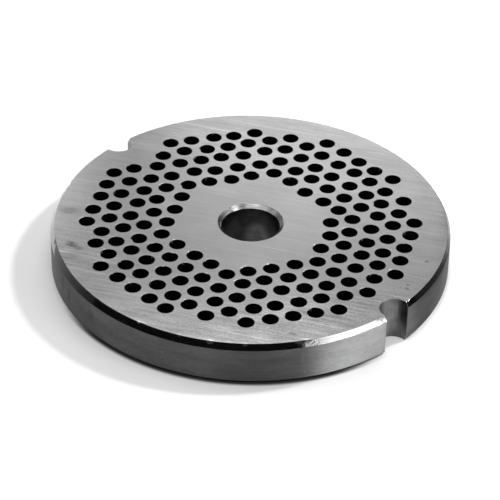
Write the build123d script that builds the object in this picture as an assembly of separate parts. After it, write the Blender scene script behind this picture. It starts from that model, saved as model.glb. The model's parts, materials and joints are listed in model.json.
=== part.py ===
from build123d import *
import os
from math import hypot, sqrt

# Meat grinder plate: one ground steel disc with a ring of small drilled holes.
# Its axis is Z, it lies on its back face at Z = 0, and the knife runs on the top face.
# The two locating notches lie on the X axis, and one row of holes runs along it too.

# Driving dimensions, in millimetres

# Disc
PLATE_DIAMETER = 82.0
PLATE_THICKNESS = 9.3
LEAD_IN_WIDTH = 0.7
LEAD_IN_DROP = 1.3
BACK_CHAMFER_WIDTH = 0.4
BACK_CHAMFER_RISE = 0.7

# Bore for the stud of the feed worm
BORE_DIAMETER = 12.0
BORE_CHAMFER = 0.8
BORE_BACK_BREAK = 0.3

# Drilled holes, on a grid of equal triangles
HOLE_DIAMETER = 3.4
HOLE_PITCH = 4.68
HUB_LAND_DIAMETER = 27.0
RIM_LAND_WIDTH = 5.0

# Locating notches, round-bottomed and cut right through the rim
NOTCH_COUNT = 2
NOTCH_DIAMETER = 6.2
NOTCH_CENTRE_INSET = 0.8

# Worked out from the sizes above
plate_radius = PLATE_DIAMETER / 2
bore_radius = BORE_DIAMETER / 2
hole_radius = HOLE_DIAMETER / 2
first_hole_circle = HUB_LAND_DIAMETER / 2 + hole_radius
last_hole_circle = plate_radius - RIM_LAND_WIDTH - hole_radius
notch_centre_radius = plate_radius - NOTCH_CENTRE_INSET


def turned_blank():
    """The disc as it leaves the lathe: bored, and chamfered at both faces."""
    section = Polyline(
        (bore_radius, BORE_BACK_BREAK),
        (bore_radius + BORE_BACK_BREAK, 0),
        (plate_radius - BACK_CHAMFER_WIDTH, 0),
        (plate_radius, BACK_CHAMFER_RISE),
        (plate_radius, PLATE_THICKNESS - LEAD_IN_DROP),
        (plate_radius - LEAD_IN_WIDTH, PLATE_THICKNESS),
        (bore_radius + BORE_CHAMFER, PLATE_THICKNESS),
        (bore_radius, PLATE_THICKNESS - BORE_CHAMFER),
        close=True,
    )
    return revolve(Plane.XZ * make_face(section), Axis.Z)


def grid_point(along, across):
    """Centre of a site, counted in steps along X and along the row at 60 degrees to X."""
    x = HOLE_PITCH * (along + across / 2)
    y = HOLE_PITCH * across * sqrt(3) / 2
    return x, y


def drilled_sites():
    """Centres of the grid sites between the hub land and the rim land."""
    reach = int(2 * last_hole_circle / HOLE_PITCH)
    steps = range(-reach, reach + 1)
    sites = []
    for along in steps:
        for across in steps:
            x, y = grid_point(along, across)
            if first_hole_circle <= hypot(x, y) <= last_hole_circle:
                sites.append((along, across))
    # The outermost site of the X row beside the second notch is left undrilled.
    sites.remove(min(site for site in sites if site[1] == 0))
    return [grid_point(along, across) for along, across in sites]


def through_cut(outline):
    """A prism of the outline that passes right through the disc."""
    return extrude(outline, PLATE_THICKNESS)


def grinder_plate():
    """The finished plate: the turned blank, drilled and notched."""
    drilling = Sketch() + [Pos(x, y) * Circle(hole_radius) for x, y in drilled_sites()]
    notches = PolarLocations(notch_centre_radius, NOTCH_COUNT) * Circle(NOTCH_DIAMETER / 2)
    return turned_blank() - through_cut(drilling) - through_cut(Sketch() + notches)


os.makedirs("parts", exist_ok=True)
export_step(grinder_plate(), "parts/grinder_plate.step")
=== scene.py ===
import json
import random
from math import acos, atan2, cos, hypot, pi, radians, sin, sqrt, tan

import bpy
from mathutils import Matrix, Vector
from mathutils.geometry import delaunay_2d_cdt


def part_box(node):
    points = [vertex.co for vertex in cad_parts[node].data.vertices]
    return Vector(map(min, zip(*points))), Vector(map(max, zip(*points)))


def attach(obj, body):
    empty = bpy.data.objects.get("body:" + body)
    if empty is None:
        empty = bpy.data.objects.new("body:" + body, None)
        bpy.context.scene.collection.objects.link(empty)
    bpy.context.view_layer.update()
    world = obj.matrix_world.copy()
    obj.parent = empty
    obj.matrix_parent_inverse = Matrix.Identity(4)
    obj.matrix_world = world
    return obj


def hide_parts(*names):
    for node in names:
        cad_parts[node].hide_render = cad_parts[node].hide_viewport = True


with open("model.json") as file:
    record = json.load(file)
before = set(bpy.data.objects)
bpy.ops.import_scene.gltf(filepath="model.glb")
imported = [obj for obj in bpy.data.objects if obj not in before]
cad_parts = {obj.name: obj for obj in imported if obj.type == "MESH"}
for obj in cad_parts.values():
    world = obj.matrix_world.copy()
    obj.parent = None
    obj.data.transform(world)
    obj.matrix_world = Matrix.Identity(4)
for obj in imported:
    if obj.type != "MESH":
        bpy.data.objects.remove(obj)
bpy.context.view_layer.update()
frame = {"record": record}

# The mesh is worked out in millimetres and scaled to metres at the end.
MM = 0.001

# Sizes that the record and the frame give
NODE = "grinder_plate"
mounts = {mount["name"]: mount for mount in frame["record"]["mounts"]}
plate_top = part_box(NODE)[1].z / MM
rim_radius = mounts["rim"]["dims"]["r_mm"]
rim_middle = mounts["rim"]["pos_m"][2] / MM
rim_reach = mounts["rim"]["dims"]["length_mm"] / 2
wall_low = rim_middle - rim_reach
wall_high = rim_middle + rim_reach
bore_radius = mounts["bore"]["dims"]["r_mm"]
bore_middle = mounts["bore"]["pos_m"][2] / MM
bore_reach = mounts["bore"]["dims"]["length_mm"] / 2
bore_chamfer = plate_top - bore_middle - bore_reach
bore_break = bore_middle - bore_reach
notch_radius = mounts["near_notch"]["dims"]["r_mm"]
notch_distance = mounts["near_notch"]["pos_m"][0] / MM

# Sizes of the disc's edges and of the drilling, as in the solid
LEAD_IN_WIDTH = 0.7
BACK_CHAMFER_WIDTH = 0.4
HOLE_RADIUS = 1.7
HOLE_PITCH = 4.68
FIRST_HOLE_CIRCLE = 15.2
LAST_HOLE_CIRCLE = 34.3

# Small roundings that the solid leaves out
LIP_ROUNDING = 0.08
CORNER_ROUNDING = 0.08
HOLE_ROUNDING = 0.04
BORE_ROUNDING = 0.06

# How finely the mesh is divided
RIM_STEPS = 150
CORNER_STEPS = 8
NOTCH_STEPS = 20
HOLE_STEPS = 40
BORE_STEPS = 144
ARC_ROWS = 3
WALL_ROWS = 10
LEAD_IN_ROWS = 6

# Rows on the land beside the lip, as distances from it
LAND_INSETS = (0.15, 0.4, 0.8)

# Length of the open ends that guide a section's first and last rounding
GUIDE = 2

# How delaunay_2d_cdt is asked to work: keep what is inside the rows, and merge points this near
INSIDE = 1
MERGE = 1e-7

# Where the random draws start
SEED = 82

# The drill wandered a little at every hole, and most at the sites listed here. A hole that would
# leave less than the least wall to another one is drawn back in steps.
DRILL_WANDER = 0.17
LEAST_WALL = 0.75
DRAW_BACK = 0.1
WORST_STRAYS = {
    (2, 2): (0.5, 0.3),
    (-3, -2): (-0.5, -0.3),
    (-1, 4): (0.5, -0.1),
    (2, -4): (0.5, -0.1),
    (1, 4): (-0.4, -0.3),
    (1, 3): (-0.3, -0.3),
    (5, 3): (-0.3, 0.3),
    (5, -3): (-0.4, 0.1),
}

# The picture's right-hand direction, turned from the plate's X axis
PICTURE_TURN = radians(44.62)

# The face was reground a little out of true: the lead-in is deeper on the picture's left
REGROUND_LEAN = 0.25

# Nicks in the upper lip: angle in degrees, half width and depth
LIP_NICKS = [
    (-29.8, 1.1, 0.16),
    (-31.6, 0.4, 0.1),
    (-55.8, 0.5, 0.16),
    (-6.2, 0.5, 0.1),
    (-5.0, 0.4, 0.12),
    (-77.0, 0.5, 0.12),
    (-64.5, 0.4, 0.08),
    (-46.0, 0.4, 0.07),
    (15.0, 0.5, 0.06),
]
RANDOM_NICKS = 36
RANDOM_NICK_WIDTHS = (0.25, 0.6)
RANDOM_NICK_DEPTHS = (0.02, 0.05)

# A nick fades out below the lip over this height, reaches the land beside it with a share of its
# depth, and lowers the lip less than it pushes it in.
NICK_HEIGHT = 0.5
NICK_LAND_SHARE = 0.3
NICK_LOWERING = 0.7

# Width of the land beside the lip that moves with it, and of the lip's own rounding
NEAR_LAND = 0.3
LIP_WIDTH = 0.1

# Burrs left by the drill just inside the upper edge of some holes, and bright chips below it.
# Each has a random share of its full reach.
BURR_SHARE = 0.3
BURR_REACH = 0.22
CHIP_SHARE = 0.2
CHIP_REACH = 0.3
CHIP_DEPTH = 0.6
REACH_SHARES = (0.4, 1.0)

# Where most burrs and chips are, in degrees from the picture's right, and how they spread
BURR_SIDE = 125
BURR_SPREAD = 45


# Mesh


class Shell:
    """Points, faces and the zone that each face belongs to, gathered row by row."""

    def __init__(self):
        self.points = []
        self.faces = []
        self.zones = []
        self.smooth = []

    def row(self, points):
        """Adds points and returns their numbers."""
        first = len(self.points)
        self.points.extend(points)
        return list(range(first, len(self.points)))

    def face(self, corners, zone, smooth=True):
        """Adds a face. A smooth one shares its normals with its neighbours."""
        self.faces.append(tuple(corners))
        self.zones.append(zone)
        self.smooth.append(smooth)

    def strip(self, lower, upper, zone, inward=False):
        """Joins two closed rows. The zone may be a function of the place along the row."""
        count = len(lower)
        for here in range(count):
            ahead = (here + 1) % count
            quad = (lower[here], lower[ahead], upper[ahead], upper[here])
            self.face(reversed(quad) if inward else quad, zone(here) if callable(zone) else zone)


def rounded(corners):
    """An open line through (x, y, radius) corners, with an arc at each one that has a radius."""
    line = []
    for index, (x, y, radius) in enumerate(corners):
        here = Vector((x, y))
        if not radius:
            line.append((x, y))
            continue
        back = (Vector(corners[index - 1][:2]) - here).normalized()
        ahead = (Vector(corners[index + 1][:2]) - here).normalized()
        half = back.angle(ahead) / 2
        centre = here + (back + ahead).normalized() * radius / sin(half)
        start = here + back * radius / tan(half) - centre
        end = here + ahead * radius / tan(half) - centre
        first = atan2(start.y, start.x)
        sweep = (atan2(end.y, end.x) - first + pi) % (2 * pi) - pi
        for step in range(ARC_ROWS + 1):
            angle = first + sweep * step / ARC_ROWS
            line.append((centre.x + radius * cos(angle), centre.y + radius * sin(angle)))
    return line


def quarter_outline(rim, notch, corner):
    """The plate's outline from the floor of the near notch to a quarter turn on."""
    reach = rim - corner
    spread = notch + corner
    swing = acos((notch_distance**2 + reach**2 - spread**2) / (2 * notch_distance * reach))
    hub = Vector((reach * cos(swing), reach * sin(swing)))
    side = atan2(hub.y, hub.x - notch_distance)
    line = []
    for step in range(NOTCH_STEPS):
        angle = pi + (side - pi) * step / NOTCH_STEPS
        line.append((notch_distance + notch * cos(angle), notch * sin(angle)))
    for step in range(CORNER_STEPS):
        angle = side + pi + (swing + pi - side) * step / CORNER_STEPS
        line.append((hub.x + corner * cos(angle), hub.y + corner * sin(angle)))
    for step in range(RIM_STEPS + 1):
        angle = swing + (pi / 2 - swing) * step / RIM_STEPS
        line.append((rim * cos(angle), rim * sin(angle)))
    return line


def outline(rim, notch, corner):
    """The whole outline, anticlockwise from the floor of the near notch."""
    first = quarter_outline(rim, notch, corner)
    second = [(-x, y) for x, y in reversed(first)]
    half = first + second[1:-1]
    return half + [(-x, -y) for x, y in half]


def circle(radius, steps, centre=(0.0, 0.0)):
    """Points round a circle, anticlockwise from its right."""
    return [
        (
            centre[0] + radius * cos(2 * pi * step / steps),
            centre[1] + radius * sin(2 * pi * step / steps),
        )
        for step in range(steps)
    ]


def side_zone(place, zone):
    """The zone of a place along the outline: a notch's wall, or the zone given."""
    half = 2 * (NOTCH_STEPS + CORNER_STEPS + RIM_STEPS)
    corner = NOTCH_STEPS + CORNER_STEPS
    if corner <= place % half < half - corner:
        return zone
    return "far_notch" if abs(place - half) <= corner else "near_notch"


def outer_rows():
    """(rim radius, notch radius, height, zone of the strip above) from the back face up."""
    top_radius = rim_radius - LEAD_IN_WIDTH
    section = rounded(
        [
            (rim_radius - GUIDE, 0, 0),
            (rim_radius - BACK_CHAMFER_WIDTH, 0, LIP_ROUNDING),
            (rim_radius, wall_low, LIP_ROUNDING),
            (rim_radius, wall_high, LIP_ROUNDING),
            (top_radius, plate_top, LIP_ROUNDING),
            (top_radius - GUIDE, plate_top, 0),
        ]
    )[1:-1]
    # The section is four arcs of so many points, one at each edge of the back chamfer and of the
    # lead-in. The long strips between the last three are divided.
    arc = ARC_ROWS + 1
    wall_start = arc
    lead_in_start = 3 * arc - 2
    steps_above = {2 * arc - 1: WALL_ROWS, 3 * arc - 1: LEAD_IN_ROWS}
    # The notches open towards both faces in the same small rounding.
    low_lip = section[arc - 1][1]
    high_lip = plate_top - section[-arc][1]
    rows = []
    for index, (radius, height) in enumerate(section):
        widen = 0.0
        for reach, depth in ((low_lip, height), (high_lip, plate_top - height)):
            if depth < reach:
                widen = reach - sqrt(max(reach**2 - (reach - depth) ** 2, 0))
        zone = "lead_in" if index >= lead_in_start else "wall"
        if index < wall_start:
            zone = "back_chamfer"
        rows.append((radius, notch_radius + widen, height, zone))
    divided = []
    for index, row in enumerate(rows):
        divided.append(row)
        steps = steps_above.get(index, 1)
        for step in range(1, steps):
            share = step / steps
            ahead = rows[index + 1]
            mixed = [row[k] + (ahead[k] - row[k]) * share for k in range(3)]
            divided.append((*mixed, row[3]))
    radius, notch, height, _ = divided.pop()
    for inset in (0.0, *LAND_INSETS):
        divided.append((radius - inset, notch + inset, height, "ground"))
    return divided


def lip_nicks(chance):
    """The nicks seen in the photo, and small ones anywhere round the lip."""
    nicks = [(radians(angle), width / rim_radius, depth) for angle, width, depth in LIP_NICKS]
    for _ in range(RANDOM_NICKS):
        width = chance.uniform(*RANDOM_NICK_WIDTHS) / rim_radius
        angle = chance.uniform(-pi, pi)
        nicks.append((angle, width, chance.uniform(*RANDOM_NICK_DEPTHS)))
    return nicks


def worn_edge(x, y, height, nicks):
    """Moves a point of the turned edge: the lead-in leans, and the lip is nicked."""
    radius = hypot(x, y)
    lip_radius = rim_radius - LEAD_IN_WIDTH
    if radius < lip_radius - NEAR_LAND or height < wall_low:
        return x, y, height
    angle = atan2(y, x)
    lean = REGROUND_LEAN * cos(angle - PICTURE_TURN)
    if height < wall_high:
        rise = lean * (height - wall_low) / (wall_high - wall_low)
        widen = 0.0
    else:
        share = (plate_top - height) / (plate_top - wall_high)
        rise = lean * share
        widen = lean * (1 - share) * LEAD_IN_WIDTH / (plate_top - wall_high)
    near_lip = max(0.0, 1 - (plate_top - height) / NICK_HEIGHT)
    if height > plate_top - MERGE and radius < lip_radius - LIP_WIDTH:
        near_lip = NICK_LAND_SHARE
    bite = 0.0
    for middle, width, depth in nicks:
        away = abs((angle - middle + pi) % (2 * pi) - pi) / width
        bite = max(bite, depth * max(0.0, 1 - away * away))
    bite *= near_lip
    scale = 1 + (widen - bite) / radius
    return x * scale, y * scale, height + rise - bite * NICK_LOWERING


def grid_point(along, across):
    """Centre of a site, counted in steps along X and along the row at 60 degrees to X."""
    return HOLE_PITCH * (along + across / 2), HOLE_PITCH * across * sqrt(3) / 2


def hole_centres(chance):
    """The drilled sites, each moved as far as the drill wandered."""
    reach = int(2 * LAST_HOLE_CIRCLE / HOLE_PITCH)
    steps = range(-reach, reach + 1)
    sites = [
        (along, across)
        for along in steps
        for across in steps
        if FIRST_HOLE_CIRCLE <= hypot(*grid_point(along, across)) <= LAST_HOLE_CIRCLE
    ]
    sites.remove(min(site for site in sites if site[1] == 0))
    centres = {}
    for site in sorted(sites, key=lambda site: site not in WORST_STRAYS):
        x, y = grid_point(*site)
        stray = (chance.gauss(0, DRILL_WANDER), chance.gauss(0, DRILL_WANDER))
        stray = WORST_STRAYS.get(site, stray)
        share = 1.0
        while share > 0 and any(
            hypot(x + stray[0] * share - u, y + stray[1] * share - v)
            < 2 * HOLE_RADIUS + LEAST_WALL
            for u, v in centres.values()
        ):
            share -= DRAW_BACK
        centres[site] = (x + stray[0] * share, y + stray[1] * share)
    return [centres[site] for site in sites]


def cover(shell, loops, facing_up):
    """Triangles between an outer row and the rows inside it, all at one height."""
    plan = []
    edges = []
    owner = []
    for number, loop in enumerate(loops):
        first = len(plan)
        plan.extend(Vector(shell.points[point][:2]) for point in loop)
        owner.extend([number] * len(loop))
        edges.extend((first + k, first + (k + 1) % len(loop)) for k in range(len(loop)))
    numbers = [point for loop in loops for point in loop]
    _, _, triangles, sources, _, _ = delaunay_2d_cdt(plan, edges, [], INSIDE, MERGE)
    for triangle in triangles:
        ends = [sources[corner][0] for corner in triangle]
        owners = {owner[end] for end in ends}
        if len(owners) == 1 and owners != {0}:
            continue
        a, b, c = (plan[end] for end in ends)
        if ((b - a).cross(c - a) > 0) != facing_up:
            ends.reverse()
        zone = "ground" if facing_up else "back"
        shell.face([numbers[end] for end in ends], zone, smooth=False)


def push_in(shell, rows, centre, chance, reach, widths):
    """Pushes a few points of some rows of a hole inwards, and returns the first one's place."""
    place = PICTURE_TURN + radians(chance.gauss(BURR_SIDE, BURR_SPREAD))
    first = round(place / (2 * pi) * HOLE_STEPS) % HOLE_STEPS
    share = reach * chance.uniform(*REACH_SHARES) / HOLE_RADIUS
    for row in rows:
        for step in range(chance.choice(widths)):
            point = row[(first + step) % HOLE_STEPS]
            x, y, height = shell.points[point]
            inward = ((centre[0] - x) * share, (centre[1] - y) * share)
            shell.points[point] = (x + inward[0], y + inward[1], height)
    return first


def add_rim(shell, chance):
    """The outer side, from the back face to the land beside the lip."""
    rows = outer_rows()
    rings = []
    nicks = lip_nicks(chance)
    for rim, notch, height, _ in rows:
        plan = outline(rim, notch, CORNER_ROUNDING)
        rings.append(shell.row([worn_edge(x, y, height, nicks) for x, y in plan]))
    for (*_, zone), lower, upper in zip(rows, rings, rings[1:]):
        if zone == "ground":
            shell.strip(lower, upper, zone)
        else:
            shell.strip(lower, upper, lambda place: side_zone(place, zone))
    return rings[0], rings[-1]


def add_bore(shell):
    """The bore, with its chamfer above and its broken edge below."""
    section = rounded(
        [
            (bore_radius + GUIDE, 0, 0),
            (bore_radius + bore_break, 0, BORE_ROUNDING),
            (bore_radius, bore_break, BORE_ROUNDING),
            (bore_radius, plate_top - bore_chamfer, BORE_ROUNDING),
            (bore_radius + bore_chamfer, plate_top, BORE_ROUNDING),
            (bore_radius + GUIDE, plate_top, 0),
        ]
    )[1:-1]
    rings = [
        shell.row([(x, y, height) for x, y in circle(radius, BORE_STEPS)])
        for radius, height in section
    ]
    wall_strip = 2 * (ARC_ROWS + 1) - 1
    for index, (lower, upper) in enumerate(zip(rings, rings[1:])):
        shell.strip(lower, upper, "bore" if index == wall_strip else "countersink", inward=True)
    return rings[0], rings[-1]


def add_hole(shell, centre, chance):
    """One drilled hole, with a burr and a bright chip by chance."""
    section = rounded(
        [
            (HOLE_RADIUS + GUIDE / 2, 0, 0),
            (HOLE_RADIUS, 0, HOLE_ROUNDING),
            (HOLE_RADIUS, plate_top - CHIP_DEPTH, 0),
            (HOLE_RADIUS, plate_top, HOLE_ROUNDING),
            (HOLE_RADIUS + GUIDE / 2, plate_top, 0),
        ]
    )[1:-1]
    rings = [
        shell.row([(x, y, height) for x, y in circle(radius, HOLE_STEPS, centre)])
        for radius, height in section
    ]
    # The upper rounding starts at this row, and the strip below it holds the chip.
    lip = len(rings) - 1 - ARC_ROWS
    if chance.random() < BURR_SHARE:
        push_in(shell, rings[-3:-1], centre, chance, BURR_REACH, (1, 2, 3))
    bright = ()
    if chance.random() < CHIP_SHARE:
        chip = push_in(shell, [rings[lip - 1]], centre, chance, CHIP_REACH, (1,))
        bright = (chip, (chip - 1) % HOLE_STEPS)
    for index, (lower, upper) in enumerate(zip(rings, rings[1:])):
        if index == lip - 1:
            shell.strip(lower, upper, lambda place: "ground" if place in bright else "hole", True)
        else:
            shell.strip(lower, upper, "ground" if index >= lip else "hole", inward=True)
    return rings[0], rings[-1]


def build_shell():
    """The whole surface: the sides first, and then the two faces between their rows."""
    shell = Shell()
    chance = random.Random(SEED)
    sides = [add_rim(shell, chance), add_bore(shell)]
    sides += [add_hole(shell, centre, chance) for centre in hole_centres(chance)]
    backs, fronts = zip(*sides)
    cover(shell, backs, facing_up=False)
    cover(shell, fronts, facing_up=True)
    return shell


# Materials
#
# Noise seldom leaves its middle half, so a span of it such as 0.25 to 0.75 is all of it. What it
# adds to a shade is a share of the material's tone.

# Noise is taken from a place that moves by this much for each number of its seed.
SEED_STEP = (17.3, 9.1, 5.7)


class Look:
    """A material and the nodes that make it."""

    def __init__(self, name):
        self.material = bpy.data.materials.new(name)
        self.material.use_nodes = True
        self.tree = self.material.node_tree
        self.tree.nodes.clear()
        self.output = self.node("ShaderNodeOutputMaterial")
        self.place = self.node("ShaderNodeTexCoord").outputs["Object"]

    def node(self, kind, sockets=None, **settings):
        """Adds a node. Its sockets take either a value or another node's output."""
        made = self.tree.nodes.new(kind)
        for name, value in settings.items():
            setattr(made, name, value)
        for name, value in (sockets or {}).items():
            if isinstance(value, bpy.types.NodeSocket):
                self.tree.links.new(value, made.inputs[name])
            else:
                made.inputs[name].default_value = value
        return made

    def sum(self, operation, first, second=0.0, third=0.0):
        """One step of arithmetic."""
        values = {0: first, 1: second, 2: third}
        return self.node("ShaderNodeMath", values, operation=operation).outputs[0]

    def shift(self, operation, first, second):
        """One step of vector arithmetic."""
        values = {0: first, 1: second}
        return self.node("ShaderNodeVectorMath", values, operation=operation).outputs[0]

    def measure(self, operation, first, second=(0, 0, 0)):
        """The length of a vector, or the product of two."""
        values = {0: first, 1: second}
        return self.node("ShaderNodeVectorMath", values, operation=operation).outputs["Value"]

    def turned(self, vector, turn):
        """A vector seen from axes that are turned about Z."""
        values = {"Vector": vector, "Angle": -turn}
        return self.node("ShaderNodeVectorRotate", values, rotation_type="Z_AXIS").outputs[0]

    def span(self, value, low, high, out_low=0.0, out_high=1.0):
        """Maps low..high to out_low..out_high, easing in and out."""
        values = {0: value, 1: low, 2: high, 3: out_low, 4: out_high}
        made = self.node("ShaderNodeMapRange", values, interpolation_type="SMOOTHSTEP")
        return made.outputs[0]

    def blend(self, share, first, second):
        """Mixes two numbers."""
        made = self.node("ShaderNodeMix", {0: share, 2: first, 3: second}, data_type="FLOAT")
        return made.outputs[0]

    def vary(self, shade, pattern, low, high, out_low, out_high):
        """Adds a pattern to a shade, with its low..high mapped to out_low..out_high."""
        return self.sum("ADD", shade, self.span(pattern, low, high, out_low, out_high))

    def scale(self, shade, pattern, low, high, out_low, out_high):
        """Multiplies a shade by a pattern, with its low..high mapped to out_low..out_high."""
        return self.sum("MULTIPLY", shade, self.span(pattern, low, high, out_low, out_high))

    def lay(self, turn, along, across, deep=None):
        """Coordinates turned about Z and scaled: steps per millimetre along and across."""
        deep = across if deep is None else deep
        steps = (along / MM, across / MM, deep / MM)
        return self.shift("MULTIPLY", self.turned(self.place, turn), steps)

    def round_lay(self, around, outward, upward):
        """Coordinates round the plate's axis: steps per millimetre of arc, radius and height."""
        split = self.node("ShaderNodeSeparateXYZ", {0: self.place})
        angle = self.sum("ARCTAN2", split.outputs[1], split.outputs[0])
        joined = self.node(
            "ShaderNodeCombineXYZ",
            {
                0: self.sum("MULTIPLY", angle, around * rim_radius),
                1: self.sum("MULTIPLY", self.radius(), outward / MM),
                2: self.sum("MULTIPLY", split.outputs[2], upward / MM),
            },
        )
        return joined.outputs[0]

    def radius(self):
        """Distance from the plate's axis, in metres."""
        return self.measure("LENGTH", self.shift("MULTIPLY", self.place, (1, 1, 0)))

    def patch(self, middle, turn, reach):
        """A soft oval round a place in millimetres: 1 in its middle, 0 outside its reach."""
        moved = self.shift("SUBTRACT", self.place, tuple(value * MM for value in middle))
        reach = tuple(value * MM for value in reach)
        away = self.measure("LENGTH", self.shift("DIVIDE", self.turned(moved, turn), reach))
        return self.span(away, 1.0, 0.3)

    def noise(self, vector, seed, detail, rough=0.5):
        """Soft noise between 0 and 1, mostly near 0.5."""
        moved = self.shift("ADD", vector, tuple(seed * step for step in SEED_STEP))
        values = {"Vector": moved, "Scale": 1.0, "Detail": detail, "Roughness": rough}
        return self.node("ShaderNodeTexNoise", values).outputs["Fac"]

    def bump(self, height, distance):
        """A normal that stands for a relief of this many millimetres."""
        values = {"Height": height, "Distance": distance * MM, "Strength": 1.0}
        return self.node("ShaderNodeBump", values).outputs[0]

    def grey(self, value):
        """A number as a colour."""
        return self.node("ShaderNodeCombineColor", {0: value, 1: value, 2: value}).outputs[0]

    def surface(self, shader):
        """Makes a shader the material's own."""
        self.tree.links.new(shader.outputs[0], self.output.inputs[0])
        return self.material

    def metal(self, colour, roughness, normal, tangent=None):
        """Bare metal. With a tangent, its lines spread the light to one side and the other."""
        values = {
            "Base Color": self.grey(colour),
            "Roughness": roughness,
            "Metallic": 1.0,
            "Normal": normal,
        }
        if tangent is not None:
            values.update({"Anisotropic": 1.0, "Anisotropic Rotation": 0.25, "Tangent": tangent})
        return self.surface(self.node("ShaderNodeBsdfPrincipled", values))

    def glowing(self, shade, glow):
        """A dull surface that also glows."""
        diffuse = self.node("ShaderNodeBsdfDiffuse", {"Color": self.grey(shade)})
        emission = self.node("ShaderNodeEmission", {"Strength": glow})
        sockets = {0: diffuse.outputs[0], 1: emission.outputs[0]}
        return self.surface(self.node("ShaderNodeAddShader", sockets))


# The way the grinding lines run, from the plate's X axis
GRIND_TURN = radians(29.6)

# Marks on the ground face: place, turn in degrees, half length, half width, and how much
# lighter or darker they are. Scratches, and stains wider than BROAD_STAIN, break up in the grain.
BROAD_STAIN = 0.8
FACE_MARKS = [
    (10.2, -2.9, 29.7, 7.5, 0.13, 0.3),
    (22.6, -29.4, 30.0, 11.5, 0.16, 0.3),
    (29.4, -25.5, 29.6, 3.4, 0.22, 0.45),
    (20.5, -32.3, 31.0, 8.0, 0.1, 0.3),
    (37.2, -6.0, 25.2, 3.4, 0.14, 0.4),
    (36.2, -7.2, 26.0, 3.0, 0.1, 0.35),
    (36.4, 10.9, 20.0, 2.8, 0.12, 0.35),
    (37.0, 9.6, 21.0, 2.2, 0.1, 0.3),
    (11.2, 36.4, 30.0, 1.4, 0.12, 0.35),
    (-19.0, -35.0, 31.0, 2.6, 0.16, 0.4),
    (-20.4, -32.0, 29.0, 3.4, 0.1, 0.2),
    (-28.6, -24.4, 40.0, 2.8, 1.6, -0.5),
    (-19.4, -31.8, 20.0, 1.8, 1.3, -0.8),
    (-17.4, -31.7, 20.0, 1.4, 1.0, -0.5),
    (-17.0, -35.0, 40.0, 3.2, 1.6, -0.3),
    (32.1, -20.3, 25.0, 1.5, 0.45, -0.5),
    (34.6, -13.5, 25.0, 0.9, 0.3, -0.4),
    (34.0, 16.1, 25.0, 0.55, 0.5, -0.5),
    (36.7, 7.5, 30.0, 0.5, 0.4, -0.45),
    (37.4, 6.5, 10.0, 0.8, 0.5, -0.4),
    (36.4, 5.8, 30.0, 0.25, 0.2, -0.5),
    (36.2, 2.2, 60.0, 0.25, 0.2, -0.4),
    (37.2, 3.4, 20.0, 0.3, 0.2, -0.4),
    (8.4, -37.0, 30.0, 0.5, 0.3, -0.4),
    (14.3, -34.0, 30.0, 0.4, 0.3, -0.4),
    (15.2, -11.4, 30.0, 0.35, 0.25, -0.3),
    (13.5, -22.7, 30.0, 0.5, 0.3, -0.35),
]

# The lines are stronger towards the rim: from this radius to that one, and from this share of
# their strength to that one
SCUFFED_RADII = (24 * MM, 38 * MM)
SCUFFED_SHARES = (0.35, 0.7)

# Where the face is scuffed most: place, turn in degrees, half length, half width, how much more
SCUFFED_PLACES = [
    (31.0, -18.5, 60.0, 40.0, 13.0, 1.5),
    (-12.0, -33.5, -20.0, 24.0, 11.0, 0.7),
    (10.0, -36.0, 15.0, 14.0, 7.0, 0.7),
]


def ground_face(name, tone, marks=()):
    """Ground steel: fine lines one way, plainer round the bore and scuffed near the rim."""
    look = Look(name)
    scuffed = look.span(look.radius(), *SCUFFED_RADII, *SCUFFED_SHARES)
    for x, y, turn, long, wide, more in SCUFFED_PLACES:
        place = look.patch((x, y, plate_top), radians(turn), (long, wide, 30.0))
        scuffed = look.sum("MULTIPLY_ADD", place, more, scuffed)
    fine = look.noise(look.lay(GRIND_TURN, 0.12, 4.5), 1, detail=3, rough=0.6)
    medium = look.noise(look.lay(GRIND_TURN + radians(1), 0.06, 1.4), 2, detail=2)
    sparse = look.noise(look.lay(GRIND_TURN - radians(1.5), 0.05, 2.2), 3, detail=2)
    blotches = look.noise(look.lay(GRIND_TURN, 0.12, 0.3), 6, detail=3, rough=0.6)
    clouds = look.noise(look.lay(0, 0.06, 0.06), 4, detail=3, rough=0.55)
    grain = look.noise(look.lay(0, 2.4, 2.4), 5, detail=2, rough=0.7)
    lines = look.sum("MULTIPLY_ADD", fine, 0.6, look.sum("MULTIPLY", medium, 0.4))
    shade = look.span(lines, 0.25, 0.75, -0.16, 0.16)
    shade = look.vary(shade, sparse, 0.58, 0.75, 0.0, 0.3)
    shade = look.vary(shade, blotches, 0.25, 0.75, -0.1, 0.1)
    shade = look.vary(shade, grain, 0.25, 0.75, -0.08, 0.08)
    shade = look.sum("MULTIPLY", shade, scuffed)
    shade = look.vary(shade, clouds, 0.3, 0.7, -0.06, 0.06)
    for x, y, turn, long, wide, strength in marks:
        mark = look.patch((x, y, plate_top), radians(turn), (long, wide, 3.0))
        if strength > 0 or wide > BROAD_STAIN:
            mark = look.scale(mark, grain, 0.35, 0.6, 0.2, 1.0)
        shade = look.sum("MULTIPLY_ADD", mark, strength, shade)
    colour = look.sum("MULTIPLY_ADD", shade, tone, tone)
    roughness = look.span(medium, 0.25, 0.75, 0.31, 0.28)
    return look.metal(colour, roughness, look.bump(lines, 0.0015))


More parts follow.
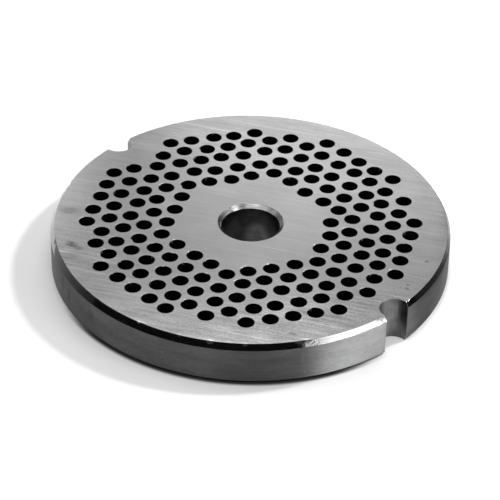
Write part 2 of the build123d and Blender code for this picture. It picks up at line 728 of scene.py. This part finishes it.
# Stains, a bright scratch, painted shade and a painted glint on the rim: place, half width round
# the rim, half height, and how much darker or lighter they are
WALL_STAINS_AND_PAINTED_LIGHT = [
    (-14.7, -38.3, 5.3, 1.3, 2.4, -0.6),
    (-11.8, -39.3, 4.4, 1.0, 2.4, -0.65),
    (-3.5, -40.8, 5.0, 1.4, 2.4, -0.25),
    # Painted shade on the left of the rim, which dims the floor that it mirrors
    (-30.2, -27.7, 4.5, 10.0, 14.0, -0.5),
    (2.5, -40.9, 3.6, 0.5, 0.7, -0.25),
    (14.5, -38.3, 2.8, 0.3, 0.3, -0.5),
    # A painted glint
    (35.6, -20.3, 2.0, 0.15, 0.15, 2.0),
    (35.3, -20.8, 5.5, 0.25, 2.4, 0.25),
    # Darker on the front of the rim
    (28.8, -29.2, 4.5, 10.0, 9.0, -0.22),
    # Painted shade on the rim right of the near notch, which dims the lit floor that it mirrors
    (39.8, 9.9, 4.5, 17.0, 14.0, -0.55),
]


def turned_wall(name, tone):
    """The rim as turned: dull, with fine lines round it that spread the light up and down."""
    look = Look(name)
    lines = look.noise(look.round_lay(0.06, 0, 7.0), 1, detail=3, rough=0.65)
    clouds = look.noise(look.round_lay(0.1, 0, 0.35), 2, detail=4, rough=0.55)
    specks = look.noise(look.round_lay(1.2, 0, 3.0), 3, detail=3)
    shade = look.span(clouds, 0.25, 0.75, -0.12, 0.12)
    shade = look.vary(shade, lines, 0.2, 0.8, -0.14, 0.14)
    shade = look.vary(shade, specks, 0.25, 0.75, -0.1, 0.1)
    # The rows hold stains, a bright scratch, painted shade and a painted glint.
    for x, y, z, wide, high, strength in WALL_STAINS_AND_PAINTED_LIGHT:
        stain_and_painted_light = look.patch((x, y, z), atan2(y, x), (8.0, wide, high))
        stain_and_painted_light = look.scale(stain_and_painted_light, specks, 0.3, 0.6, 0.5, 1.0)
        shade = look.sum("MULTIPLY_ADD", stain_and_painted_light, strength, shade)
    colour = look.sum("MULTIPLY_ADD", shade, tone, tone)
    roughness = look.span(clouds, 0.2, 0.8, 0.44, 0.4)
    tangent = look.node("ShaderNodeTangent", direction_type="RADIAL", axis="Z").outputs[0]
    return look.metal(colour, roughness, look.bump(lines, 0.002), tangent)


# Bruised and rubbed places of the lead-in, the last also painted dark as shade: place, half
# length round the rim, how much rougher they are on the whole. Their middles lie this far below
# the face.
LEAD_IN_PATCH_DROP = 0.6
LEAD_IN_BRUISES_AND_SHADE = [
    (36.0, -19.3, 2.1, 0.35),
    (40.5, -4.0, 1.6, 0.4),
    # This long place on the plate's right is painted dark as shade, dimming the floor that it
    # mirrors.
    (23.8, 33.4, 17.0, 0.45),
]


def turned_chamfer(name, tone):
    """A freshly turned slope, bright and nearly a mirror, with fine lines round it."""
    look = Look(name)
    lines = look.noise(look.round_lay(0.04, 4.0, 4.0), 1, detail=3, rough=0.6)
    clouds = look.noise(look.round_lay(0.3, 0.3, 0.3), 2, detail=4)
    torn = look.noise(look.lay(0, 3.0, 3.0, 3.0), 3, detail=2)
    colour = look.span(lines, 0.2, 0.8, tone * 0.88, tone * 1.1)
    rough = look.span(clouds, 0.3, 0.8, 0.06, 0.1)
    # Bruises, and the place painted dark as shade, darken and roughen the slope.
    for x, y, long, rubbed in LEAD_IN_BRUISES_AND_SHADE:
        bruise_and_shade = look.patch((x, y, plate_top - LEAD_IN_PATCH_DROP), atan2(y, x), (1.2, long, 1.2))
        colour = look.blend(bruise_and_shade, colour, look.span(torn, 0.35, 0.6, tone * 0.2, tone * 0.9))
        # The torn pattern is a half on the whole.
        rough = look.sum("MULTIPLY_ADD", look.sum("MULTIPLY", bruise_and_shade, torn), rubbed * 2, rough)
    return look.metal(colour, rough, look.bump(lines, 0.001))


# Painted highlights and painted shade on the bore's mouth: place, half length and factor. Their
# middles lie this far below the face.
MOUTH_DROP = 0.4
MOUTH_PAINTED_LIGHT = [
    (-6.2, 1.7, 4.0, 1.6),
    (-3.2, -5.5, 4.0, 0.55),
    (5.8, 2.7, 3.0, 0.65),
    (0.4, 6.4, 2.4, 0.45),
]


def countersink(name, tone):
    """The bore's turned mouth, in soft streaks, with painted highlights and painted shade."""
    look = Look(name)
    streaks = look.noise(look.round_lay(0.035, 3.0, 3.0), 1, detail=2)
    lines = look.noise(look.round_lay(0.02, 8.0, 8.0), 2, detail=2)
    colour = look.span(streaks, 0.25, 0.75, tone * 0.8, tone * 1.2)
    colour = look.scale(colour, lines, 0.2, 0.8, 0.85, 1.15)
    # Factors above 1 are painted highlights, those below 1 painted shade.
    for x, y, long, factor in MOUTH_PAINTED_LIGHT:
        place = look.patch((x, y, plate_top - MOUTH_DROP), atan2(y, x), (2.5, long, 2.5))
        colour = look.sum("MULTIPLY", colour, look.blend(place, 1.0, factor))
    rough = look.span(streaks, 0.3, 0.7, 0.32, 0.22)
    return look.metal(colour, rough, look.bump(lines, 0.0008))


# Darker corner of the near notch: place, reach and tone
NOTCH_DARKER_CORNER = (40.4, 3.2, 7.5)
DARKER_CORNER_REACH = (2.5, 1.1, 7.0)
DARKER_CORNER_TONE = 0.02


def milled_notch(name, tone, darker_corner=None):
    """The notch's cut wall, with upright cutter marks and perhaps a darker corner."""
    look = Look(name)
    marks = look.noise(look.lay(0, 3.0, 3.0, 0.15), 1, detail=3, rough=0.6)
    clouds = look.noise(look.lay(0, 0.5, 0.5), 2, detail=4)
    colour = look.span(clouds, 0.25, 0.75, tone * 0.75, tone * 1.25)
    colour = look.scale(colour, marks, 0.2, 0.8, 0.85, 1.15)
    if darker_corner:
        corner_darkening = look.patch(darker_corner, 0, DARKER_CORNER_REACH)
        corner_darkening = look.scale(corner_darkening, clouds, 0.3, 0.6, 0.95, 0.7)
        colour = look.blend(corner_darkening, colour, DARKER_CORNER_TONE)
    rough = look.span(clouds, 0.2, 0.8, 0.45, 0.33)
    return look.metal(colour, rough, look.bump(marks, 0.012))


# Painted reflection on the bore's far wall: place, reach and how many times as bright it is
BORE_PAINTED_REFLECTION = (-3.0, 5.2, 1.5)
PAINTED_REFLECTION_REACH = (4.0, 3.6, 4.5)
PAINTED_REFLECTION_FACTOR = 4.0


def drilled_wall(name, tone, roughness, painted_reflection=None):
    """A drilled or reamed wall, painted dark as shade, with shallow rings, a cloudy tone and
    perhaps a painted reflection.
    """
    look = Look(name)
    rings = look.noise(look.lay(0, 0.1, 0.1, 4.0), 1, detail=3, rough=0.6)
    clouds = look.noise(look.lay(0, 0.4, 0.4), 2, detail=4)
    colour = look.span(clouds, 0.25, 0.75, tone * 0.7, tone * 1.3)
    colour = look.scale(colour, rings, 0.2, 0.8, 0.8, 1.2)
    if painted_reflection:
        # The painted reflection: brighter in one place.
        reflection_patch = look.patch(painted_reflection, atan2(painted_reflection[1], painted_reflection[0]), PAINTED_REFLECTION_REACH)
        colour = look.blend(reflection_patch, colour, look.sum("MULTIPLY", colour, PAINTED_REFLECTION_FACTOR))
    return look.metal(colour, roughness, look.bump(rings, 0.01))


# Plate


def link(thing):
    """Puts an object into the scene."""
    bpy.context.scene.collection.objects.link(thing)


def set_normals(mesh, smooth):
    """Flat faces keep their own normal. Elsewhere the larger faces round a point lead."""
    shared = [Vector() for _ in mesh.vertices]
    for face in mesh.polygons:
        for point in face.vertices:
            shared[point] += face.normal * face.area / MM**2
    normals = []
    for face, eased in zip(mesh.polygons, smooth):
        for point in face.vertices:
            normals.append(shared[point].normalized() if eased else face.normal.copy())
    mesh.normals_split_custom_set(normals)


def plate_looks():
    """The material of each zone. The number after its name is its tone."""
    return {
        "ground": ground_face("ground_face", 0.62, FACE_MARKS),
        "back": ground_face("back_face", 0.55),
        # The rim's low tone is painted shade on the plate's side.
        "wall": turned_wall("rim_wall", 0.13),
        "lead_in": turned_chamfer("lead_in", 0.3),
        # The back chamfer is painted darker than the lead-in, as shade under the plate's edge.
        "back_chamfer": turned_chamfer("back_chamfer", 0.15),
        # The near notch is painted darker than the far one, as shade.
        "near_notch": milled_notch("near_notch_wall", 0.14, NOTCH_DARKER_CORNER),
        "far_notch": milled_notch("far_notch_wall", 0.3),
        # The holes and the bore are painted near black, as the shade inside them.
        "hole": drilled_wall("hole_wall", 0.02, 0.5),
        "bore": drilled_wall("bore_wall", 0.04, 0.3, BORE_PAINTED_REFLECTION),
        "countersink": countersink("bore_countersink", 0.36),
    }


def build_plate():
    """The plate's mesh with its materials, in place of the solid."""
    shell = build_shell()
    looks = plate_looks()
    mesh = bpy.data.meshes.new("ground_plate")
    points = [(x * MM, y * MM, z * MM) for x, y, z in shell.points]
    mesh.from_pydata(points, [], shell.faces)
    order = list(looks)
    for look in looks.values():
        mesh.materials.append(look)
    mesh.polygons.foreach_set("material_index", [order.index(zone) for zone in shell.zones])
    mesh.polygons.foreach_set("use_smooth", [True] * len(shell.faces))
    mesh.update()
    set_normals(mesh, shell.smooth)
    plate = bpy.data.objects.new("ground_plate", mesh)
    link(plate)
    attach(plate, "root")
    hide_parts(NODE)


# Studio


def direction(azimuth, elevation):
    """A unit vector. Azimuth is counted from the picture's right, away from the camera."""
    turn = radians(azimuth) + PICTURE_TURN
    rise = radians(elevation)
    return Vector((cos(turn) * cos(rise), sin(turn) * cos(rise), sin(rise)))


def face_plate(thing, azimuth, elevation, distance):
    """Puts an object at a distance from the plate, facing it, and hides it from the camera."""
    thing.location = direction(azimuth, elevation) * distance
    thing.rotation_euler = (-thing.location).to_track_quat("-Z", "Y").to_euler()
    thing.visible_camera = False


def stage_sheet(name, corners, material, faces=None):
    """A flat or folded sheet that isn't part of the object. Without faces it is one polygon."""
    mesh = bpy.data.meshes.new(name)
    mesh.from_pydata(corners, [], faces or [tuple(range(len(corners)))])
    mesh.materials.append(material)
    sheet = bpy.data.objects.new(name, mesh)
    link(sheet)
    return sheet


# The sheet of paper: its radius and steps, and how far it lies below the plate, in metres
FLOOR_RADIUS = 2.5
FLOOR_STEPS = 96
FLOOR_DROP = 0.00001

# Its colour and how much that varies, and a faint glow that lights nothing, but is seen directly
# and in the steel
FLOOR_COLOUR = 0.9
PAPER_SWING = 0.005
FLOOR_GLOW = 0.01

# The painted contact shadow where the plate stands: its shade, its width in millimetres, the
# azimuth it lies round, and how far to both sides it is whole and where it ends, in degrees
CONTACT_SHADOW_SHADE = 0.06
CONTACT_WIDTH = 1.0
CONTACT_AZIMUTH = -102
CONTACT_SPREAD = (35, 55)

# The stronger glow on the side that the key lights, in the same terms
SIDE_GLOW = 0.3
GLOW_WIDTH = 1.2
GLOW_AZIMUTH = 15
GLOW_SPREAD = (35, 75)


def near_azimuth(look, azimuth, spread, distance, out_low=0.0, out_high=1.0):
    """A number that is out_high near an azimuth and falls to out_low over the spread.

    The distance is that of the places in question from the plate's axis.
    """
    towards = look.measure("DOT_PRODUCT", look.place, direction(azimuth, 0))
    whole, gone = (cos(radians(angle)) for angle in spread)
    return look.span(look.sum("DIVIDE", towards, distance), gone, whole, out_low, out_high)


def white_floor():
    """White paper, with a painted contact shadow in front where the plate stands on it."""
    look = Look("white_paper")
    paper = look.noise(look.lay(0, 0.02, 0.02), 1, detail=3)
    folded = look.node("ShaderNodeVectorMath", {0: look.place}, operation="ABSOLUTE").outputs[0]
    from_notch = look.shift("SUBTRACT", folded, (notch_distance * MM, 0, 0))
    from_notch = look.measure("LENGTH", from_notch)
    in_notch = look.sum("SUBTRACT", (notch_radius + CONTACT_WIDTH) * MM, from_notch)
    outside = look.sum("SUBTRACT", look.radius(), rim_radius * MM)
    clear = look.sum("MAXIMUM", outside, in_notch)
    # The paper is painted darker towards the rim: a painted contact shadow.
    light = look.span(clear, 0.0, CONTACT_WIDTH * MM, CONTACT_SHADOW_SHADE, 1.0)
    shaded = near_azimuth(look, CONTACT_AZIMUTH, CONTACT_SPREAD, rim_radius * MM)
    shade = look.span(paper, 0.2, 0.8, FLOOR_COLOUR - PAPER_SWING, FLOOR_COLOUR + PAPER_SWING)
    shade = look.sum("MULTIPLY", shade, look.blend(shaded, 1.0, light))
    path = look.node("ShaderNodeLightPath").outputs
    seen = look.sum("MAXIMUM", path["Is Camera Ray"], path["Is Glossy Ray"])
    sunny = near_azimuth(look, GLOW_AZIMUTH, GLOW_SPREAD, look.radius(), FLOOR_GLOW, SIDE_GLOW)
    glow = look.sum("MULTIPLY", look.span(clear, 0.0, GLOW_WIDTH * MM), sunny)
    look.glowing(shade, look.sum("MULTIPLY", seen, glow))
    corners = [(x, y, -FLOOR_DROP) for x, y in circle(FLOOR_RADIUS, FLOOR_STEPS)]
    stage_sheet("floor", corners, look.material)


# Dark screens that the steel mirrors: name, first and last azimuth, distance and height in
# metres, shade at the first azimuth and at the last, and glow at the last
SCREEN_STEPS = 48
SCREENS = [
    ("front_screen", 150, 306, 0.45, 0.2, 0.01, 0.01, 0.0),
    ("right_screen", -10, 50, 0.3, 0.14, 0.01, 0.01, 0.0),
]

# Cards close to the rim, in the same terms. Only the steel sees them.
CARDS = [
    ("left_card", 145, 204, 0.068, 0.03, 0.5, 0.03, 0.0),
    ("right_card", -26, 36, 0.052, 0.03, 0.05, 0.5, 1.0),
]

# Area lamps: name, azimuth, elevation, distance, width and height in metres, and radiance
MAIN_LAMPS = [
    ("key", 24, 46, 0.8, 0.08, 0.08, 170.0),
    ("top_box", 0, 88, 0.7, 0.5, 0.5, 0.85),
    ("high_left_box", -170, 62, 0.7, 0.9, 0.9, 1.04),
    ("left_box", 180, 30, 0.7, 0.2, 0.2, 1.3),
]

# Glowing panels: name, azimuth, elevation, distance, width and height in metres, radiance, and
# the shares of the width and of the height over which they fade
PANELS = [
    ("front_right_panel", -36, 14, 0.38, 0.4, 0.13, 3.5, 0.35, 0.3),
    ("low_right_panel", -33, 2.7, 0.38, 0.42, 0.03, 90.0, 0.25, 0.3),
]

# Smaller lamps, which single edges and walls mirror, in the same terms as the main ones
SMALL_LAMPS = [
    ("upper_right_box", -25, 44, 0.6, 0.15, 0.15, 2.6),
    ("front_high_box", -95, 56, 0.6, 0.35, 0.2, 1.2),
    ("back_middle", 85, 30, 0.26, 0.1, 0.06, 1.2),
    ("back_left_near", 120, 20, 0.17, 0.06, 0.05, 4.2),
    ("overhead", 100, 68, 0.15, 0.08, 0.08, 1.25),
]

# Light from all round
SKY_STRENGTH = 0.12


def dark_screen(name, first, last, distance, high, first_shade, last_shade, last_glow):
    """A curved screen that stands round the plate, between two azimuths.

    The shade changes from the first azimuth to the last one. The glow starts a third of the way
    along, and stays below the plate's top face.
    """
    look = Look(name)
    chord = direction(last, 0) - direction(first, 0)
    along = look.measure("DOT_PRODUCT", look.place, chord)
    stops = (first, (2 * first + last) / 3, last)
    start, third, end = [direction(azimuth, 0).dot(chord) * distance for azimuth in stops]
    shade = look.span(along, start, end, first_shade, last_shade)
    glow = look.span(along, third, end, 0.0, last_glow)
    height = look.node("ShaderNodeSeparateXYZ", {0: look.place}).outputs[2]
    look.glowing(shade, look.scale(glow, height, plate_top * MM, (plate_top - 1) * MM, 0.0, 1.0))
    corners = []
    faces = []
    for step in range(SCREEN_STEPS + 1):
        spot = direction(first + (last - first) * step / SCREEN_STEPS, 0) * distance
        corners += [(spot.x, spot.y, 0.0), (spot.x, spot.y, high)]
        if step:
            faces.append((2 * step - 2, 2 * step, 2 * step + 1, 2 * step - 1))
    screen = stage_sheet(name, corners, look.material, faces)
    screen.visible_camera = False
    return screen


def soft_panel(name, azimuth, elevation, distance, width, height, radiance, *fades):
    """A glowing panel that faces the plate and fades towards its edges."""
    look = Look(name)
    spot = look.node("ShaderNodeTexCoord").outputs["Generated"]
    split = look.node("ShaderNodeSeparateXYZ", {0: spot})
    glow = radiance
    for axis, fade in enumerate(fades):
        from_middle = look.sum("ABSOLUTE", look.sum("SUBTRACT", split.outputs[axis], 0.5))
        glow = look.sum("MULTIPLY", look.span(from_middle, 0.5, 0.5 - fade), glow)
    look.surface(look.node("ShaderNodeEmission", {"Strength": glow}))
    wide, high = width / 2, height / 2
    corners = [(-wide, -high, 0), (wide, -high, 0), (wide, high, 0), (-wide, high, 0)]
    face_plate(stage_sheet(name, corners, look.material), azimuth, elevation, distance)


def softbox(name, azimuth, elevation, distance, width, height, radiance):
    """A rectangular area lamp that faces the plate, of an even radiance."""
    lamp = bpy.data.lights.new(name, "AREA")
    lamp.shape = "RECTANGLE"
    lamp.size = width
    lamp.size_y = height
    lamp.energy = radiance * pi * width * height
    box = bpy.data.objects.new(name, lamp)
    face_plate(box, azimuth, elevation, distance)
    link(box)


def light_the_studio():
    """The sky, the paper, the screens and the lamps."""
    world = bpy.data.worlds.new("studio")
    bpy.context.scene.world = world
    world.use_nodes = True
    sky = world.node_tree.nodes["Background"]
    sky.inputs["Color"].default_value = (1, 1, 1, 1)
    sky.inputs["Strength"].default_value = SKY_STRENGTH
    white_floor()
    for row in SCREENS:
        dark_screen(*row)
    for row in CARDS:
        card = dark_screen(*row)
        card.visible_diffuse = False
        card.visible_shadow = False
    for row in MAIN_LAMPS:
        softbox(*row)
    for row in PANELS:
        soft_panel(*row)
    for row in SMALL_LAMPS:
        softbox(*row)


# Camera

# Point that the camera looks at, on the face, and its direction of view in degrees from the
# plate's X axis, down and round its own axis
AIM = Vector((6.821, -6.957, 9.3)) * MM
CAMERA_AZIMUTH = 134.62
CAMERA_DIP = 35.97
CAMERA_ROLL = 1.21

# Its distance in metres, and its lens and film width in millimetres
CAMERA_DISTANCE = 0.48729
CAMERA_LENS = 173.85
CAMERA_FILM = 36
CAMERA_CLIP = (0.01, 20)


def place_camera():
    """The camera as fitted to the photo."""
    turn, dip = radians(CAMERA_AZIMUTH), radians(CAMERA_DIP)
    forward = Vector((cos(turn) * cos(dip), sin(turn) * cos(dip), -sin(dip)))
    data = bpy.data.cameras.new("camera")
    data.lens = CAMERA_LENS
    data.sensor_width = CAMERA_FILM
    data.clip_start, data.clip_end = CAMERA_CLIP
    camera = bpy.data.objects.new("camera", data)
    level = forward.to_track_quat("-Z", "Y").to_matrix().to_4x4()
    roll = Matrix.Rotation(radians(CAMERA_ROLL), 4, "Z")
    camera.matrix_world = Matrix.Translation(AIM - forward * CAMERA_DISTANCE) @ level @ roll
    link(camera)
    bpy.context.scene.camera = camera


build_plate()
light_the_studio()
place_camera()
bpy.context.scene.view_settings.view_transform = "Standard"
